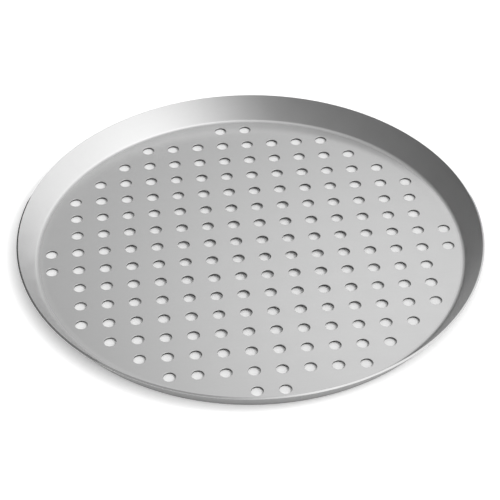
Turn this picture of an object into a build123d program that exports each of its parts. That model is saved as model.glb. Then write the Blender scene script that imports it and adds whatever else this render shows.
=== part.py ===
"""Perforated pizza pan, pressed from one round blank of aluminium sheet and punched.

Millimetres, +Z up. The origin is the centre of the ring that the pan rests on: the
underside of that ring lies at z = 0, the floor is crowned above it, and the rim opens
upwards. The whole pan is one piece of metal, so the model is one solid.
"""
import os
from math import atan2, ceil, cos, degrees, radians, sin

from build123d import *

# Sheet
sheet_thickness = 1.5

# Floor: a crowned, perforated field inside a narrow flat ring that takes the weight
field_radius = 148.4
crown_height = 1.3
crown_blend_radius = 60.0
resting_ring_width = 3.0

# Wall: bent up from the floor and flared to the rim, where the sheet is trimmed square
bend_inner_radius = 3.2
wall_slope = 56.0
rim_height = 17.8
rim_edge_break = 0.2

# Perforation: round holes on a square grid that straddles the centre
hole_diameter = 8.7
hole_pitch = 19.05

# The crown is one arc over the field, level at the centre, and a short arc that brings
# the sheet level again where the resting ring starts. Both turn by the same angle.
crown_turn = 2 * degrees(atan2(crown_height, field_radius))
crown_arc_radius = field_radius / sin(radians(crown_turn))
blend_drop = crown_blend_radius * (1 - cos(radians(crown_turn)))
centre_height = crown_height + blend_drop
bend_outer_radius = bend_inner_radius + sheet_thickness

# A hole is punched wherever all of it lies inside the crowned field
hole_radius = hole_diameter / 2
grid_count = 2 * ceil(field_radius / hole_pitch)
hole_sites = [
    site
    for site in GridLocations(hole_pitch, hole_pitch, grid_count, grid_count)
    if site.position.length + hole_radius <= field_radius
]

with BuildPart() as pan:
    # Half section of the sheet: its underside, from the centre out to the rim
    with BuildSketch(Plane.XZ) as section:
        with BuildLine() as sheet:
            crown = JernArc((0, centre_height), (1, 0), crown_arc_radius, -crown_turn)
            blend = JernArc(crown @ 1, crown % 1, crown_blend_radius, crown_turn)
            ring = PolarLine(blend @ 1, resting_ring_width, direction=(1, 0))
            bend = JernArc(ring @ 1, (1, 0), bend_outer_radius, wall_slope)
            wall = PolarLine(
                bend @ 1,
                rim_height - (bend @ 1).Y,
                direction=bend % 1,
                length_mode=LengthMode.VERTICAL,
            )
            # The upper face lies one thickness above it all the way
            offset(amount=sheet_thickness, side=Side.LEFT)
        make_face()
        rim_corners = section.vertices().sort_by(Axis.Y)[-2:]
        fillet(rim_corners, radius=rim_edge_break)
    revolve(axis=Axis.Z)

    with BuildSketch(Plane.XY) as perforation:
        with Locations(hole_sites):
            Circle(hole_radius)
    extrude(amount=centre_height + 2 * sheet_thickness, mode=Mode.SUBTRACT)

pan.part.label = "pan"

os.makedirs("parts", exist_ok=True)
export_step(pan.part, "parts/pan.step")

hole_walls = pan.faces().filter_by(GeomType.CYLINDER)
pan_size = pan.part.bounding_box().size
print(f"holes: {len(hole_sites)}, hole walls: {len(hole_walls)}")
print(f"overall: {pan_size.X:.2f} x {pan_size.Y:.2f} x {pan_size.Z:.2f} mm")
print(f"volume: {pan.part.volume:.0f} cubic mm")
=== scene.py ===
"""Perforated pizza pan: one round aluminium sheet, punched, pressed and trimmed.

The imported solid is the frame. This script models the same sheet more finely, with the
rolled and sheared edges that punching and trimming leave, and gives each of its faces the
finish of the work that made it. All sizes are in metres, +Z up, as in the frame.
"""

import logging
import math
from dataclasses import dataclass, field
from enum import Enum

import bpy
import numpy as np
from mathutils import Matrix, Vector
from mathutils.geometry import delaunay_2d_cdt

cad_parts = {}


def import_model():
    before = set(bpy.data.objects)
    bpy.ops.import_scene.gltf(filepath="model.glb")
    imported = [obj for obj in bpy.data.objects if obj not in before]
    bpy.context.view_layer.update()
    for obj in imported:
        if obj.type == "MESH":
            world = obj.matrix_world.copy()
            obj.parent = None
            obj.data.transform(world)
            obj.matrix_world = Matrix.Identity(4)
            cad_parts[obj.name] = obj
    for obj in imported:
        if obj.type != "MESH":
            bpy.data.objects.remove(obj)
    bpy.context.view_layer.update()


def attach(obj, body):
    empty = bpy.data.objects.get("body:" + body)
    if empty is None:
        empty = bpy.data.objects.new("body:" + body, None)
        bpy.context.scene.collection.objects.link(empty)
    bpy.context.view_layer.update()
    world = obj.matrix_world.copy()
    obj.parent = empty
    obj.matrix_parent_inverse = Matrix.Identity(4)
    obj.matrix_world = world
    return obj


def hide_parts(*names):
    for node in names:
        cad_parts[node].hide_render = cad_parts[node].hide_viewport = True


MM = 0.001
log = logging.getLogger("pizza_pan")


class Face(Enum):
    """The faces of the pan that were worked differently, in the order of its materials."""

    INSIDE = 0
    RIM_EDGE = 1
    HOLE_WALL = 2
    OUTSIDE = 3


@dataclass(frozen=True)
class SheetSection:
    """Half section of the pressed sheet, as its underside from the centre to the rim."""

    thickness: float = 1.5 * MM
    field_radius: float = 148.4 * MM
    crown_height: float = 1.3 * MM
    blend_radius: float = 60.0 * MM
    ring_width: float = 3.0 * MM
    bend_inner_radius: float = 3.2 * MM
    wall_slope: float = math.radians(56.0)
    wall_bow: float = math.radians(1.75)
    rim_height: float = 17.8 * MM
    rim_edge_radius: float = 0.2 * MM
    blend_steps: int = 3
    bend_steps: int = 10
    wall_steps: int = 6
    edge_steps: int = 5

    @property
    def crown_turn(self) -> float:
        """Angle between the sheet at the centre and at the edge of the punched field."""
        return 2 * math.atan2(self.crown_height, self.field_radius)

    @property
    def crown_arc_radius(self) -> float:
        """Radius of the underside's arc over the punched field."""
        return self.field_radius / math.sin(self.crown_turn)

    @property
    def centre_height(self) -> float:
        """Height of the underside at the centre, above the table."""
        return self.crown_height + self.blend_radius * (1 - math.cos(self.crown_turn))

    @property
    def bend_outer_radius(self) -> float:
        """Radius of the bend on the underside."""
        return self.bend_inner_radius + self.thickness

    @property
    def ring_start(self) -> float:
        """Distance from the axis at which the crown's blend is level again."""
        return self.field_radius + self.blend_radius * math.sin(self.crown_turn)

    @property
    def bend_start(self) -> float:
        """Distance from the axis at which the sheet starts to bend up."""
        return self.ring_start + self.ring_width

    def crown_heights(self, xy: np.ndarray, lift: float) -> np.ndarray:
        """Heights of the crowned field, or of a face parallel to it.

        Args:
            xy: Points in plan, one row each.
            lift: Distance of the face above the underside.

        Returns:
            One height for each point.
        """
        radius = self.crown_arc_radius + lift
        centre = self.centre_height - self.crown_arc_radius
        return centre + np.sqrt(radius**2 - (xy**2).sum(axis=1))

    def crown_normals(self, xy: np.ndarray) -> np.ndarray:
        """Upward unit normals of the crowned field at points in plan, one row each."""
        flat = xy / self.crown_arc_radius
        return np.column_stack([flat, np.sqrt(1 - (flat**2).sum(axis=1))])

    def stations(self) -> list[tuple[float, float, float]]:
        """Underside points outside the punched field, up to where the rim is rounded.

        Returns:
            Rows of distance from the axis, height and the sheet's slope there.
        """
        rows = []
        for step in range(self.blend_steps + 1):
            slope = -self.crown_turn * (1 - step / self.blend_steps)
            rows.append((
                self.ring_start + self.blend_radius * math.sin(slope),
                self.blend_radius * (1 - math.cos(slope)),
                slope,
            ))
        for step in range(self.bend_steps + 1):
            slope = (self.wall_slope - self.wall_bow) * step / self.bend_steps
            rows.append((
                self.bend_start + self.bend_outer_radius * math.sin(slope),
                self.bend_outer_radius * (1 - math.cos(slope)),
                slope,
            ))
        foot_out, foot_up, foot_slope = rows[-1]
        rise = self.rim_height - foot_up - self.rim_edge_radius * math.sin(self.wall_slope)
        bow_radius = rise / (math.cos(foot_slope) - math.cos(self.wall_slope + self.wall_bow))
        for step in range(1, self.wall_steps + 1):
            slope = foot_slope + 2 * self.wall_bow * step / self.wall_steps
            rows.append((
                foot_out + bow_radius * (math.sin(slope) - math.sin(foot_slope)),
                foot_up + bow_radius * (math.cos(foot_slope) - math.cos(slope)),
                slope,
            ))
        return rows

    def rim_rows(self) -> list[tuple[float, float, float, float]]:
        """The trimmed edge, from the inside of the wall round to the outside.

        Returns:
            Rows of distance from the axis, height and outward normal in the section.
        """
        radius, height, slope = self.stations()[-1]
        along = Vector((math.cos(slope), math.sin(slope)))
        across = Vector((-math.sin(slope), math.cos(slope)))
        inner = Vector((radius, height)) + across * (self.thickness - self.rim_edge_radius)
        outer = Vector((radius, height)) + across * self.rim_edge_radius
        rows = []
        for centre, first in ((inner, 90.0), (outer, 0.0)):
            for step in range(self.edge_steps + 1):
                angle = math.radians(first - 90.0 * step / self.edge_steps)
                normal = along * math.cos(angle) + across * math.sin(angle)
                point = centre + normal * self.rim_edge_radius
                rows.append((point.x, point.y, normal.x, normal.y))
        return rows[1:-1]


@dataclass(frozen=True)
class PunchedHole:
    """One vent hole: a rolled edge above, a burnished land, and a torn, wider foot."""

    radius: float = 4.35 * MM
    roll_width: float = 0.2 * MM
    roll_depth: float = 0.3 * MM
    roll_steps: int = 4
    land_end_share: float = 0.5
    tear_width: float = 0.08 * MM
    foot_break: float = 0.12 * MM
    foot_lean: float = math.radians(10)
    sides: int = 40

    def rows(self, thickness: float) -> list[tuple[float, float, float]]:
        """The hole's wall from the upper face to the underside.

        Args:
            thickness: Thickness of the sheet.

        Returns:
            Rows of radius, depth as a share of the thickness, and the angle of the
            normal, from straight up through level towards the axis to straight down.
        """
        rows = []
        for step in range(self.roll_steps + 1):
            angle = math.pi / 2 * step / self.roll_steps
            rows.append((
                self.radius + self.roll_width * (1 - math.sin(angle)),
                self.roll_depth * (1 - math.cos(angle)) / thickness,
                angle,
            ))
        rows.append((self.radius, self.land_end_share, math.pi / 2))
        foot = self.radius + self.tear_width
        rows.append((foot, 1 - self.foot_break / thickness, math.pi / 2 + self.foot_lean))
        rows.append((foot + self.foot_break, 1.0, math.pi))
        return rows


def ring_of(radius: float, sides: int) -> np.ndarray:
    """Points evenly round a circle about the origin, in plan, one row each."""
    turn = np.arange(sides) / sides * 2 * math.pi
    return radius * np.column_stack([np.cos(turn), np.sin(turn)])


def nearest_gap(points: np.ndarray, sites: np.ndarray) -> np.ndarray:
    """Distance of each point in plan from the nearest of the sites."""
    apart = points[:, None, :] - sites[None, :, :]
    return np.hypot(apart[..., 0], apart[..., 1]).min(axis=1)


@dataclass(frozen=True)
class Perforation:
    """The square grid of vent holes, wherever a whole hole fits inside the field."""

    pitch: float = 19.05 * MM
    hole: PunchedHole = field(default_factory=PunchedHole)
    collar_share: float = 1.35
    collar_sides: int = 20
    fill_per_pitch: int = 3
    lattice_gap_share: float = 0.25
    lattice_margin: float = 6.0 * MM
    border_gap: float = 3.0 * MM
    border_points: int = 160
    edge_gap: float = 0.75 * MM
    collar_slack: float = 0.001

    def sites(self, field_radius: float) -> np.ndarray:
        """Finds where the holes are punched.

        Args:
            field_radius: Radius of the punched field.

        Returns:
            Centres of the holes in plan, one row each.
        """
        half = math.ceil(field_radius / self.pitch)
        line = (np.arange(-half, half) + 0.5) * self.pitch
        grid = np.array([(x, y) for y in line for x in line])
        return grid[np.hypot(*grid.T) + self.hole.radius <= field_radius]

    def fill_points(self, field_radius: float, sites: np.ndarray) -> np.ndarray:
        """Loose points that keep the triangles between the holes even.

        Args:
            field_radius: Radius of the punched field.
            sites: Centres of the holes.

        Returns:
            Points in plan, one row each, clear of the holes and of the border.
        """
        collar = self.hole.radius * self.collar_share
        rings = sites[:, None, :] + ring_of(collar, self.collar_sides)[None, :, :]
        step = self.pitch / self.fill_per_pitch
        reach = math.ceil(field_radius / step)
        line = (np.arange(-reach, reach + 1) + self.fill_per_pitch / 2) * step
        lattice = np.array([(x, y) for y in line for x in line])
        clear_of_holes = collar + step * self.lattice_gap_share
        lattice = lattice[nearest_gap(lattice, sites) > clear_of_holes]
        lattice = lattice[np.hypot(*lattice.T) < field_radius - self.lattice_margin]
        border = ring_of(field_radius - self.border_gap, self.border_points)
        points = np.concatenate([rings.reshape(-1, 2), lattice, border])
        clear = nearest_gap(points, sites) > collar * (1 - self.collar_slack)
        return points[clear & (np.hypot(*points.T) < field_radius - self.edge_gap)]


class SheetMesh:
    """Gathers the vertices, normals and faces of one closed skin."""

    def __init__(self) -> None:
        """Starts with an empty skin."""
        self.points: list[np.ndarray] = []
        self.normals: list[np.ndarray] = []
        self.faces: list[tuple[int, ...]] = []
        self.kinds: list[int] = []
        self.count = 0

    def add(self, points: np.ndarray, normals: np.ndarray) -> np.ndarray:
        """Adds vertices and returns their numbers.

        Args:
            points: Places, one row each.
            normals: Outward unit normals, one row each.

        Returns:
            The numbers of the new vertices, in the same order.
        """
        self.points.append(points)
        self.normals.append(normals)
        first = self.count
        self.count += len(points)
        return np.arange(first, self.count)

    def bridge(self, upper: np.ndarray, lower: np.ndarray, kind: Face) -> None:
        """Joins two rings of as many vertices by a band of four-sided faces.

        Args:
            upper: Vertex numbers of the first ring.
            lower: Vertex numbers of the second ring.
            kind: The face of the pan that the band belongs to.
        """
        following = np.roll(np.arange(len(upper)), -1)
        band = np.column_stack([upper, lower, lower[following], upper[following]])
        self.faces.extend(map(tuple, band.tolist()))
        self.kinds.extend([kind.value] * len(band))

    def triangles(self, corners: np.ndarray, kind: Face) -> None:
        """Adds three-sided faces, given as rows of vertex numbers."""
        self.faces.extend(map(tuple, corners.tolist()))
        self.kinds.extend([kind.value] * len(corners))

    def to_object(self, name: str) -> bpy.types.Object:
        """Makes the Blender object, with the gathered normals on its vertices.

        Args:
            name: Name of the object and its mesh.

        Returns:
            The object, linked to the scene.
        """
        mesh = bpy.data.meshes.new(name)
        mesh.from_pydata(np.concatenate(self.points).tolist(), [], self.faces)
        mesh.polygons.foreach_set("material_index", self.kinds)
        mesh.polygons.foreach_set("use_smooth", [True] * len(self.faces))
        mesh.normals_split_custom_set_from_vertices(np.concatenate(self.normals).tolist())
        mesh.validate()
        made = bpy.data.objects.new(name, mesh)
        bpy.context.scene.collection.objects.link(made)
        return made


@dataclass
class Pan:
    """The pan itself: crowned and perforated floor, resting ring, bend, wall and rim."""

    section: SheetSection = field(default_factory=SheetSection)
    perforation: Perforation = field(default_factory=Perforation)
    sides: int = 480
    merge_gap: float = 1e-6

    def build(self) -> bpy.types.Object:
        """Builds the whole skin as one closed mesh.

        Returns:
            The pan's object.
        """
        skin = SheetMesh()
        upper_edge, lower_edge = self._add_rim_and_wall(skin)
        self._add_punched_field(skin, upper_edge, lower_edge)
        return skin.to_object("pizza_pan")

    def _revolved_row(self, skin: SheetMesh, row: tuple[float, float, float, float]) -> np.ndarray:
        """Adds one row of the section all the way round the axis.

        Args:
            skin: The mesh to add to.
            row: Distance from the axis, height and normal in the section.

        Returns:
            The numbers of the row's vertices.
        """
        radius, height, out, up = row
        plan = ring_of(1.0, self.sides)
        points = np.column_stack([plan * radius, np.full(self.sides, height)])
        normals = np.column_stack([plan * out, np.full(self.sides, up)])
        return skin.add(points, normals)

    def _add_rim_and_wall(self, skin: SheetMesh) -> tuple[np.ndarray, np.ndarray]:
        """Adds everything outside the punched field, as one band turned about the axis.

        Args:
            skin: The mesh to add to.

        Returns:
            The rings at the edge of the field, on the upper face and on the underside.
        """
        sheet = self.section
        stations = sheet.stations()
        inside = [
            (
                radius - sheet.thickness * math.sin(slope),
                height + sheet.thickness * math.cos(slope),
                -math.sin(slope),
                math.cos(slope),
            )
            for radius, height, slope in stations
        ]
        outside = [
            (radius, height, math.sin(slope), -math.cos(slope))
            for radius, height, slope in reversed(stations)
        ]
        rim = sheet.rim_rows()
        kinds = (
            [Face.INSIDE] * (len(inside) - 1)
            + [Face.RIM_EDGE] * (len(rim) + 1)
            + [Face.OUTSIDE] * (len(outside) - 1)
        )
        rings = [self._revolved_row(skin, row) for row in inside + rim + outside]
        for first, second, kind in zip(rings, rings[1:], kinds):
            skin.bridge(first, second, kind)
        return rings[0], rings[-1]

    def _add_punched_field(
        self, skin: SheetMesh, upper_edge: np.ndarray, lower_edge: np.ndarray
    ) -> None:
        """Adds the crowned floor between the holes, above and below, and the hole walls.

        Args:
            skin: The mesh to add to.
            upper_edge: Ring round the field on the upper face.
            lower_edge: Ring round the field on the underside.
        """
        sheet, hole = self.section, self.perforation.hole
        sites = self.perforation.sites(sheet.field_radius)
        rows = hole.rows(sheet.thickness)
        rings = []
        for radius, share, angle in rows:
            spokes = ring_of(1.0, hole.sides)
            plan = (sites[:, None, :] + radius * spokes[None, :, :]).reshape(-1, 2)
            heights = sheet.crown_heights(plan, sheet.thickness * (1 - share))
            to_axis = np.tile(-spokes, (len(sites), 1))
            normals = math.cos(angle) * sheet.crown_normals(plan)
            normals[:, :2] += math.sin(angle) * to_axis
            numbers = skin.add(np.column_stack([plan, heights]), normals)
            rings.append(numbers.reshape(len(sites), hole.sides))
        for level, (upper, lower) in enumerate(zip(rings, rings[1:])):
            kind = Face.INSIDE if level < hole.roll_steps else Face.HOLE_WALL
            for first, second in zip(upper, lower):
                skin.bridge(second, first, kind)
        fill = self.perforation.fill_points(sheet.field_radius, sites)
        for edge, holes, radius, lift in (
            (upper_edge, rings[0], rows[0][0], sheet.thickness),
            (lower_edge, rings[-1], rows[-1][0], 0.0),
        ):
            self._add_field_face(skin, edge, holes, fill, (sites, radius, lift))

    def _add_field_face(
        self,
        skin: SheetMesh,
        edge: np.ndarray,
        holes: np.ndarray,
        fill: np.ndarray,
        layout: tuple[np.ndarray, float, float],
    ) -> None:
        """Triangulates one face of the punched field round its holes.

        Args:
            skin: The mesh to add to.
            edge: Ring round the field.
            holes: One ring of vertex numbers for each hole.
            fill: Loose points in plan.
            layout: The centres of the holes, their radius on this face, and the height
                of the face above the underside.
        """
        sites, radius, lift = layout
        sheet = self.section
        heights = sheet.crown_heights(fill, lift)
        normals = sheet.crown_normals(fill) * (1.0 if lift else -1.0)
        loose = skin.add(np.column_stack([fill, heights]), normals)
        numbers = np.concatenate([edge, holes.ravel(), loose])
        plan = np.concatenate(skin.points)[numbers, :2]
        loops = [np.arange(len(edge))]
        loops += list(len(edge) + np.arange(holes.size).reshape(holes.shape))
        seams = [
            (int(a), int(b)) for loop in loops for a, b in zip(loop, np.roll(loop, -1))
        ]
        result = delaunay_2d_cdt([Vector(p) for p in plan / MM], seams, [], 0, self.merge_gap)
        vertices, faces, origins = result[0], result[2], result[3]
        if len(vertices) != len(plan):
            raise ValueError("the loose points of the punched field cross its holes")
        corners = np.array([origin[0] for origin in origins])[np.array(faces)]
        corners = corners[nearest_gap(plan[corners].mean(axis=1), sites) > radius]
        a, b, c = plan[corners].transpose(1, 0, 2)
        area = np.cross(b - a, c - a)
        turned = area < 0 if lift else area > 0
        corners[turned] = corners[turned][:, ::-1]
        skin.triangles(numbers[corners], Face.INSIDE if lift else Face.OUTSIDE)


Value = bpy.types.NodeSocket | float | tuple[float, ...]


class Bench:
    """Lays out the nodes of one material, world or group, and joins them."""

    def __init__(self, tree: bpy.types.NodeTree) -> None:
        """Starts on a node tree."""
        self.tree = tree

    def feed(self, socket: bpy.types.NodeSocket, value: Value) -> None:
        """Joins a socket to another one, or writes a plain value on it.

        Args:
            socket: The socket that is fed.
            value: Another socket, or a plain value.
        """
        if isinstance(value, bpy.types.NodeSocket):
            self.tree.links.new(value, socket)
        else:
            socket.default_value = value

    def node(self, kind: str, inputs: dict[str, Value], **settings: object) -> bpy.types.Node:
        """Adds one node.

        Args:
            kind: Blender's name for the node.
            inputs: What goes into its named sockets.
            **settings: Its other settings.

        Returns:
            The node.
        """
        made = self.tree.nodes.new(kind)
        for name, value in settings.items():
            setattr(made, name, value)
        for name, value in inputs.items():
            self.feed(made.inputs[name], value)
        return made

    def math(self, operation: str, *values: Value) -> bpy.types.NodeSocket:
        """Adds a calculation with numbers.

        Args:
            operation: Blender's name for it.
            *values: Its numbers, in order.

        Returns:
            The result's socket.
        """
        made = self.node("ShaderNodeMath", {}, operation=operation)
        for socket, value in zip(made.inputs, values):
            self.feed(socket, value)
        return made.outputs["Value"]

    def vector(self, operation: str, *values: Value) -> bpy.types.NodeSocket:
        """Adds a calculation with vectors.

        Args:
            operation: Blender's name for it.
            *values: Its vectors, in order.

        Returns:
            The result's socket.
        """
        made = self.node("ShaderNodeVectorMath", {}, operation=operation)
        for socket, value in zip(made.inputs, values):
            self.feed(socket, value)
        numbers = ("DOT_PRODUCT", "LENGTH")
        return made.outputs["Value" if operation in numbers else "Vector"]

    def remap(self, value: Value, old: tuple[float, float], new: tuple[float, float]) -> Value:
        """Takes a number smoothly from one range to another and holds it at the ends.

        Args:
            value: The number.
            old: The range that it comes from.
            new: The range that it is taken to.

        Returns:
            The result's socket.
        """
        sockets = {
            "Value": value,
            "From Min": old[0],
            "From Max": old[1],
            "To Min": new[0],
            "To Max": new[1],
        }
        made = self.node("ShaderNodeMapRange", sockets, interpolation_type="SMOOTHSTEP")
        return made.outputs["Result"]

    def blend(self, share: Value, first: Value, second: Value) -> bpy.types.NodeSocket:
        """Goes from a first number to a second one.

        Args:
            share: How far to go, from 0 to 1.
            first: The number at 0.
            second: The number at 1.

        Returns:
            The result's socket.
        """
        made = self.node("ShaderNodeMix", {"Factor": share}, data_type="FLOAT")
        self.feed(made.inputs["A"], first)
        self.feed(made.inputs["B"], second)
        return made.outputs["Result"]

    def effect(self, tree: bpy.types.NodeTree, inputs: dict[str, Value]) -> bpy.types.Node:
        """Places one shared effect and feeds it its own values."""
        return self.node("ShaderNodeGroup", inputs, node_tree=tree)


class Effects:
    """The effects that several finishes share, each a node group that is built once."""

    def __init__(self) -> None:
        """Builds the groups."""
        self.mottle = self._mottle()
        self.lines = self._lines()
        self.round_place = self._round_place()

    @staticmethod
    def _group(
        name: str, inputs: dict[str, str], outputs: dict[str, str]
    ) -> tuple[bpy.types.NodeTree, Bench, bpy.types.NodeOutputs, bpy.types.NodeInputs]:
        """Starts a group with named sockets.

        Args:
            name: Name of the group.
            inputs: Kind of each input socket by its name.
            outputs: Kind of each output socket by its name.

        Returns:
            The tree, a bench on it, the input node's sockets and the output node's.
        """
        tree = bpy.data.node_groups.new(name, "ShaderNodeTree")
        for in_out, sockets in (("INPUT", inputs), ("OUTPUT", outputs)):
            for label, kind in sockets.items():
                tree.interface.new_socket(label, in_out=in_out, socket_type=kind)
        bench = Bench(tree)
        given = bench.node("NodeGroupInput", {}).outputs
        result = bench.node("NodeGroupOutput", {}).inputs
        return tree, bench, given, result

    def _mottle(self) -> bpy.types.NodeTree:
        """Even, cloudy variation of one size: grain when small, blotches when large.

        Returns:
            The group.
        """
        tree, bench, given, result = self._group(
            "mottle",
            {"Place": "NodeSocketVector", "Size": "NodeSocketFloat"},
            {"Level": "NodeSocketFloat"},
        )
        scale = bench.math("DIVIDE", 1.0, given["Size"])
        noise = bench.node(
            "ShaderNodeTexNoise",
            {"Vector": given["Place"], "Scale": scale, "Detail": 2.0, "Roughness": 0.5},
        )
        bench.feed(result["Level"], noise.outputs["Fac"])
        return tree

    def _lines(self) -> bpy.types.NodeTree:
        """Fine parallel lines along X, as rolling and brushing leave them on sheet.

        Returns:
            The group.
        """
        tree, bench, given, result = self._group(
            "sheet_lines",
            {
                "Place": "NodeSocketVector",
                "Length": "NodeSocketFloat",
                "Pitch": "NodeSocketFloat",
            },
            {"Level": "NodeSocketFloat"},
        )
        cell = bench.node(
            "ShaderNodeCombineXYZ",
            {"X": given["Length"], "Y": given["Pitch"], "Z": given["Pitch"]},
        )
        spread = bench.vector("DIVIDE", given["Place"], cell.outputs["Vector"])
        noise = bench.node(
            "ShaderNodeTexNoise",
            {"Vector": spread, "Scale": 1.0, "Detail": 3.0, "Roughness": 0.65},
        )
        bench.feed(result["Level"], noise.outputs["Fac"])
        return tree

    def _round_place(self) -> bpy.types.NodeTree:
        """Where a point lies on a round thing: its spoke, its radius and its section.

        Returns:
            The group.
        """
        tree, bench, given, result = self._group(
            "round_place",
            {"Place": "NodeSocketVector"},
            {
                "Spoke": "NodeSocketVector",
                "Section": "NodeSocketVector",
                "Radius": "NodeSocketFloat",
                "Height": "NodeSocketFloat",
            },
        )
        plan = bench.vector("MULTIPLY", given["Place"], (1.0, 1.0, 0.0))
        radius = bench.vector("LENGTH", plan)
        height = bench.node("ShaderNodeSeparateXYZ", {"Vector": given["Place"]}).outputs["Z"]
        section = bench.node("ShaderNodeCombineXYZ", {"X": radius, "Z": height})
        bench.feed(result["Spoke"], bench.vector("NORMALIZE", plan))
        bench.feed(result["Section"], section.outputs["Vector"])
        bench.feed(result["Radius"], radius)
        bench.feed(result["Height"], height)
        return tree


class MetalBench(Bench):
    """A bench for one metal material, with its shader and the places on the pan."""

    def __init__(self, name: str, effects: Effects) -> None:
        """Starts a metal material.

        Args:
            name: Name of the material.
            effects: The shared effects.
        """
        self.material = bpy.data.materials.new(name)
        self.material.use_nodes = True
        super().__init__(self.material.node_tree)
        self.effects = effects
        self.shader = self.tree.nodes["Principled BSDF"]
        self.feed(self.shader.inputs["Metallic"], 1.0)
        self.place = self.node("ShaderNodeTexCoord", {}).outputs["Object"]
        self.round = self.effect(effects.round_place, {"Place": self.place}).outputs

    def mottle(self, place: Value, size: float) -> bpy.types.NodeSocket:
        """Cloudy variation of one size, in metres."""
        return self.effect(self.effects.mottle, {"Place": place, "Size": size}).outputs["Level"]

    def lines(self, length: float, pitch: float) -> bpy.types.NodeSocket:
        """Rolled lines of a length and pitch, in metres."""
        sockets = {"Place": self.place, "Length": length, "Pitch": pitch}
        return self.effect(self.effects.lines, sockets).outputs["Level"]

    def dress(self, colour: Value, roughness: Value, relief: Value) -> bpy.types.Material:
        """Feeds the shader.

        Args:
            colour: Level of the neutral base colour.
            roughness: Roughness.
            relief: Height of the surface's relief, in metres.

        Returns:
            The material.
        """
        grey = self.node("ShaderNodeCombineColor", {"Red": colour, "Green": colour, "Blue": colour})
        self.feed(self.shader.inputs["Base Color"], grey.outputs["Color"])
        self.feed(self.shader.inputs["Roughness"], roughness)
        bump = self.node("ShaderNodeBump", {"Height": relief, "Strength": 1.0, "Distance": 1.0})
        self.feed(self.shader.inputs["Normal"], bump.outputs["Normal"])
        return self.material


@dataclass(frozen=True)
class SatinSheet:
    """Satin mill finish: rolled lines on the floor, smoother where the wall was drawn; on the wall its
    colour can be darkened as painted shade.
    """

    name: str
    section: SheetSection
    colour: float = 0.74
    colour_spread: float = 0.03
    # Share of the colour kept on the wall: below 1 it is painted shade, not a tone of the metal.
    painted_wall_shade: float = 1.0
    floor_roughness: float = 0.24
    wall_roughness: float = 0.38
    roughness_spread: float = 0.06
    line_length: float = 45.0 * MM
    line_pitch: float = 0.45 * MM
    line_depth: float = 0.004 * MM
    line_spread: float = 0.05
    bend_blend: float = 1.5 * MM
    grain_size: float = 0.25 * MM
    grain_depth: float = 0.0012 * MM
    blotch_size: float = 14.0 * MM
    streak_width: float = 4.0 * MM
    streak_depth: float = 0.010 * MM

    def material(self, effects: Effects) -> bpy.types.Material:
        """Makes the material of the sheet's broad faces.

        Args:
            effects: The shared effects.

        Returns:
            The material.
        """
        bench = MetalBench(self.name, effects)
        start = self.section.bend_start
        bend = (start - self.bend_blend, start + self.bend_blend)
        on_wall = bench.remap(bench.round["Radius"], bend, (0.0, 1.0))
        lines = bench.lines(self.line_length, self.line_pitch)
        grain = bench.mottle(bench.place, self.grain_size)
        blotch = bench.mottle(bench.place, self.blotch_size)
        spoke = bench.vector("MULTIPLY", bench.round["Spoke"], (start, start, start))
        streak = bench.mottle(spoke, self.streak_width)
        drawn = bench.math("MULTIPLY", streak, self.streak_depth)
        rolled = bench.math("MULTIPLY", lines, self.line_depth)
        relief = bench.math(
            "MULTIPLY_ADD", grain, self.grain_depth, bench.blend(on_wall, rolled, drawn)
        )
        spread = bench.math("SUBTRACT", blotch, 0.5)
        colour = bench.math("MULTIPLY_ADD", spread, self.colour_spread, self.colour)
        marks = bench.math("MULTIPLY", bench.math("SUBTRACT", lines, 0.5), self.line_spread)
        colour = bench.math("ADD", colour, marks)
        # Darkens the wall's colour by the painted shade, so the outside wall looks as if it mirrored
        # the shaded table.
        colour = bench.math("MULTIPLY", colour, bench.blend(on_wall, 1.0, self.painted_wall_shade))
        smooth = bench.blend(on_wall, self.floor_roughness, self.wall_roughness)
        roughness = bench.math("MULTIPLY_ADD", spread, self.roughness_spread, smooth)
        return bench.dress(colour, roughness, relief)


@dataclass(frozen=True)
class TrimmedEdge:
    """The rim's cut edge, turned smooth, with fine lines running round it."""

    # Painted shade: the colour is held below the sheet's so that the cut edge reads as a dark line.
    colour: float = 0.57
    colour_spread: float = 0.02
    roughness: float = 0.06
    roughness_spread: float = 0.04
    line_pitch: float = 0.12 * MM
    line_depth: float = 0.004 * MM

    def material(self, effects: Effects) -> bpy.types.Material:
        """Makes the material of the rim's edge.

        Args:
            effects: The shared effects.

        Returns:
            The material.
        """
        bench = MetalBench("trimmed_edge", effects)
        lines = bench.mottle(bench.round["Section"], self.line_pitch)
        relief = bench.math("MULTIPLY", lines, self.line_depth)
        spread = bench.math("SUBTRACT", lines, 0.5)
        roughness = bench.math("MULTIPLY_ADD", spread, self.roughness_spread, self.roughness)
        colour = bench.math("MULTIPLY_ADD", spread, self.colour_spread, self.colour)
        return bench.dress(colour, roughness, relief)


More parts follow.
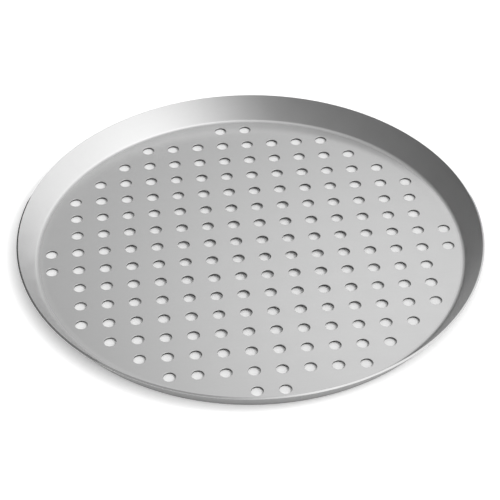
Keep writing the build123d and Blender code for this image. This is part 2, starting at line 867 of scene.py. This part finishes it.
@dataclass(frozen=True)
class ShearedHole:
    """The wall of a punched hole: a burnished land above a torn, matte foot, both coloured dark as
    painted shade of the hole's depth.
    """

    section: SheetSection
    hole: PunchedHole
    # Painted shade: the walls are coloured far darker than the sheet, for the shade inside the holes.
    land_colour_painted_shade: float = 0.13
    tear_colour_painted_shade: float = 0.10
    land_roughness: float = 0.40
    tear_roughness: float = 0.60
    score_width: float = 0.10 * MM
    score_depth: float = 0.010 * MM
    tear_size: float = 0.08 * MM
    tear_depth: float = 0.020 * MM
    seam_share: float = 0.12
    seam_wave: float = 0.64 * MM

    def material(self, effects: Effects) -> bpy.types.Material:
        """Makes the material of the hole walls.

        Args:
            effects: The shared effects.

        Returns:
            The material.
        """
        bench = MetalBench("sheared_hole_wall", effects)
        sheet = self.section
        sag = bench.math("POWER", bench.round["Radius"], 2.0)
        sag = bench.math("DIVIDE", sag, 2 * sheet.crown_arc_radius)
        above = bench.math("ADD", bench.round["Height"], sag)
        share = bench.math("SUBTRACT", above, sheet.centre_height)
        share = bench.math("DIVIDE", share, sheet.thickness)
        seam = 1 - self.hole.land_end_share
        wander = bench.math("SUBTRACT", bench.mottle(bench.place, self.seam_wave), 0.5)
        share = bench.math("MULTIPLY_ADD", wander, 2 * self.seam_share, share)
        torn = bench.remap(share, (seam + self.seam_share, seam - self.seam_share), (0.0, 1.0))
        plan = bench.vector("MULTIPLY", bench.place, (1.0, 1.0, 0.0))
        scores = bench.math("MULTIPLY", bench.mottle(plan, self.score_width), self.score_depth)
        pits = bench.math("MULTIPLY", bench.mottle(bench.place, self.tear_size), self.tear_depth)
        # The dark land and tear colours are painted shade.
        return bench.dress(
            bench.blend(torn, self.land_colour_painted_shade, self.tear_colour_painted_shade),
            bench.blend(torn, self.land_roughness, self.tear_roughness),
            bench.blend(torn, scores, pits),
        )


@dataclass(frozen=True)
class SoftBox:
    """A round soft light far away, bright in its core and fading to its edge, in degrees."""

    azimuth: float
    elevation: float
    edge: float
    core: float
    strength: float

    def direction(self) -> tuple[float, float, float]:
        """Finds where the light stands.

        Returns:
            Unit vector from the pan towards the middle of the light.
        """
        turn, rise = math.radians(self.azimuth), math.radians(self.elevation)
        level = math.cos(rise)
        return (level * math.cos(turn), level * math.sin(turn), math.sin(rise))

    def level(self, bench: Bench, towards: Value) -> bpy.types.NodeSocket:
        """How bright the light is in each direction.

        Args:
            bench: The world's bench.
            towards: Direction that is looked in.

        Returns:
            The light's strength there.
        """
        nearness = bench.vector("DOT_PRODUCT", towards, self.direction())
        angle = bench.math("ARCCOSINE", nearness)
        fade = (math.radians(self.edge), math.radians(self.core))
        return bench.remap(angle, fade, (0.0, self.strength))


def soft_boxes() -> list[SoftBox]:
    """Sets out the studio's lights: a wide bank on the right, and smaller ones round the pan.

    Returns:
        The lights.
    """
    bank = SoftBox(azimuth=-3, elevation=13, edge=97, core=18, strength=1.08)
    behind = SoftBox(azimuth=80, elevation=43, edge=14, core=3, strength=0.51)
    front = SoftBox(azimuth=-55, elevation=47, edge=45, core=0, strength=0.71)
    high = SoftBox(azimuth=217, elevation=79, edge=33, core=32, strength=0.18)
    back = SoftBox(azimuth=106, elevation=30, edge=21, core=0, strength=0.50)
    return [bank, behind, front, high, back]


@dataclass(frozen=True)
class KeyLight:
    """A far lamp behind a diffuser, whose light falls through the holes onto the table."""

    azimuth: float = math.radians(-25)
    elevation: float = math.radians(49)
    spread: float = math.radians(18)
    strength: float = 0.87

    def build(self) -> bpy.types.Object:
        """Makes the lamp, kept out of mirror images so that the metal shows no glare.

        Returns:
            The lamp.
        """
        data = bpy.data.lights.new("key_light", "SUN")
        data.energy = self.strength
        data.angle = self.spread
        made = bpy.data.objects.new("key_light", data)
        level = math.cos(self.elevation)
        towards = Vector((
            level * math.cos(self.azimuth),
            level * math.sin(self.azimuth),
            math.sin(self.elevation),
        ))
        made.rotation_mode = "QUATERNION"
        made.rotation_quaternion = towards.to_track_quat("Z", "Y")
        made.visible_glossy = False
        bpy.context.scene.collection.objects.link(made)
        return made


@dataclass(frozen=True)
class Studio:
    """White table with a painted shadow round the pan, and soft studio light."""

    # Painted shadow: the table's glow is held off within painted_shadow_core of a point shifted back
    # from the pan, and fades in over painted_shadow_fade.
    painted_shadow_core: float = 162.0 * MM
    painted_shadow_fade: float = 22.0 * MM
    painted_shadow_shift: tuple[float, float, float] = (4.8 * MM, 18.8 * MM, 0.0)
    table_radius: float = 40.0
    table_sides: int = 96
    table_white: float = 0.92
    lift_open: float = 0.70
    low_light: float = 0.038
    ceiling_light: float = 0.345
    boxes: list[SoftBox] = field(default_factory=soft_boxes)

    def build_table(self) -> bpy.types.Object:
        """Makes the white table that the pan stands on.

        Returns:
            The table's object.
        """
        plan = ring_of(self.table_radius, self.table_sides)
        mesh = bpy.data.meshes.new("white_table")
        points = np.column_stack([plan, np.zeros(len(plan))])
        mesh.from_pydata(points.tolist(), [], [tuple(range(len(plan)))])
        mesh.materials.append(self.table_paint())
        made = bpy.data.objects.new("white_table", mesh)
        bpy.context.scene.collection.objects.link(made)
        return made

    def table_paint(self) -> bpy.types.Material:
        """Makes the table's paint: the real shadow with a painted shadow over it, plain white round
        it, and clear from below.

        Returns:
            The material.
        """
        paint = bpy.data.materials.new("white_table")
        paint.use_nodes = True
        paint.node_tree.nodes.clear()
        bench = Bench(paint.node_tree)
        white = (self.table_white,) * 3 + (1.0,)
        matte = bench.node("ShaderNodeBsdfDiffuse", {"Color": white})
        rays = bench.node("ShaderNodeLightPath", {}).outputs
        seen = bench.math("MAXIMUM", rays["Is Camera Ray"], rays["Is Glossy Ray"])
        seen = bench.math("MAXIMUM", seen, rays["Is Transmission Ray"])
        # The glow is masked off round the pan: this paints a shadow on the table, over the real one
        # that the lamps cast.
        place = bench.node("ShaderNodeTexCoord", {}).outputs["Object"]
        shifted = bench.vector("SUBTRACT", place, self.painted_shadow_shift)
        clear = bench.math("SUBTRACT", bench.vector("LENGTH", shifted), self.painted_shadow_core)
        clear = bench.math("DIVIDE", clear, self.painted_shadow_fade)
        clear = bench.node("ShaderNodeClamp", {"Value": clear}).outputs["Result"]
        lift = bench.math("MULTIPLY", clear, self.lift_open)
        glow = bench.node("ShaderNodeEmission", {"Strength": bench.math("MULTIPLY", seen, lift)})
        both = bench.node("ShaderNodeAddShader", {})
        bench.feed(both.inputs[0], matte.outputs["BSDF"])
        bench.feed(both.inputs[1], glow.outputs["Emission"])
        from_below = bench.node("ShaderNodeNewGeometry", {}).outputs["Backfacing"]
        sided = bench.node("ShaderNodeMixShader", {"Fac": from_below})
        bench.feed(sided.inputs[1], both.outputs["Shader"])
        bench.feed(sided.inputs[2], bench.node("ShaderNodeBsdfTransparent", {}).outputs["BSDF"])
        bench.node("ShaderNodeOutputMaterial", {"Surface": sided.outputs["Shader"]})
        return paint

    def build_light(self) -> None:
        """Lights the world by direction: the soft boxes, the ceiling and a low base."""
        world = bpy.data.worlds.new("studio_light")
        world.use_nodes = True
        bench = Bench(world.node_tree)
        seen = bench.node("ShaderNodeTexCoord", {}).outputs["Generated"]
        towards = bench.vector("NORMALIZE", seen)
        rise = bench.node("ShaderNodeSeparateXYZ", {"Vector": towards}).outputs["Z"]
        level = bench.math("MULTIPLY", bench.math("MAXIMUM", rise, 0.0), self.ceiling_light)
        level = bench.math("ADD", level, self.low_light)
        for box in self.boxes:
            level = bench.math("ADD", level, box.level(bench, towards))
        background = world.node_tree.nodes["Background"]
        bench.feed(background.inputs["Color"], (1.0, 1.0, 1.0, 1.0))
        bench.feed(background.inputs["Strength"], level)
        bpy.context.scene.world = world


@dataclass(frozen=True)
class PhotoCamera:
    """The camera, placed by where it aims and how far away it stands."""

    aim: tuple[float, float, float] = (-0.32 * MM, 0.08 * MM, 1.5 * MM)
    distance: float = 1346.0 * MM
    heading: float = math.radians(-5.391)
    elevation: float = math.radians(40.859)
    roll: float = math.radians(-0.317)
    lens: float = 134.26
    sensor: float = 36.0

    def build(self) -> bpy.types.Object:
        """Makes the scene's camera.

        Returns:
            The camera.
        """
        data = bpy.data.cameras.new("photo_camera")
        data.lens = self.lens
        data.sensor_width = self.sensor
        made = bpy.data.objects.new("photo_camera", data)
        level = math.cos(self.elevation)
        back = Vector((
            math.sin(self.heading) * level,
            -math.cos(self.heading) * level,
            math.sin(self.elevation),
        ))
        turn = (-back).to_track_quat("-Z", "Y").to_matrix().to_4x4()
        turn = turn @ Matrix.Rotation(self.roll, 4, "Z")
        made.matrix_world = Matrix.Translation(Vector(self.aim) + back * self.distance) @ turn
        bpy.context.scene.collection.objects.link(made)
        bpy.context.scene.camera = made
        return made


def dress(pan: Pan, shown: bpy.types.Object) -> None:
    """Gives each face of the pan its finish.

    Args:
        pan: The pan's sizes.
        shown: The pan's object.
    """
    effects = Effects()
    finishes = {
        Face.INSIDE: SatinSheet("satin_inside", pan.section),
        Face.RIM_EDGE: TrimmedEdge(),
        Face.HOLE_WALL: ShearedHole(pan.section, pan.perforation.hole),
        # The outside wall keeps 0.30 of its colour: painted shade standing in for the dark table it
        # mirrors.
        Face.OUTSIDE: SatinSheet("satin_outside", pan.section, painted_wall_shade=0.30, wall_roughness=0.50),
    }
    for face in Face:
        shown.data.materials.append(finishes[face].material(effects))


def main() -> None:
    """Builds the pan, its finishes, the studio and the camera around the frame."""
    logging.basicConfig(level=logging.INFO, format="%(name)s: %(message)s")
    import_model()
    pan = Pan()
    shown = pan.build()
    dress(pan, shown)
    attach(shown, "root")
    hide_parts("pan")
    log.info("%s: %d points, %d faces", shown.name, len(shown.data.vertices), len(shown.data.polygons))
    studio = Studio()
    studio.build_table()
    studio.build_light()
    KeyLight().build()
    PhotoCamera().build()
    bpy.context.scene.view_settings.view_transform = "Standard"


if __name__ == "__main__":
    main()
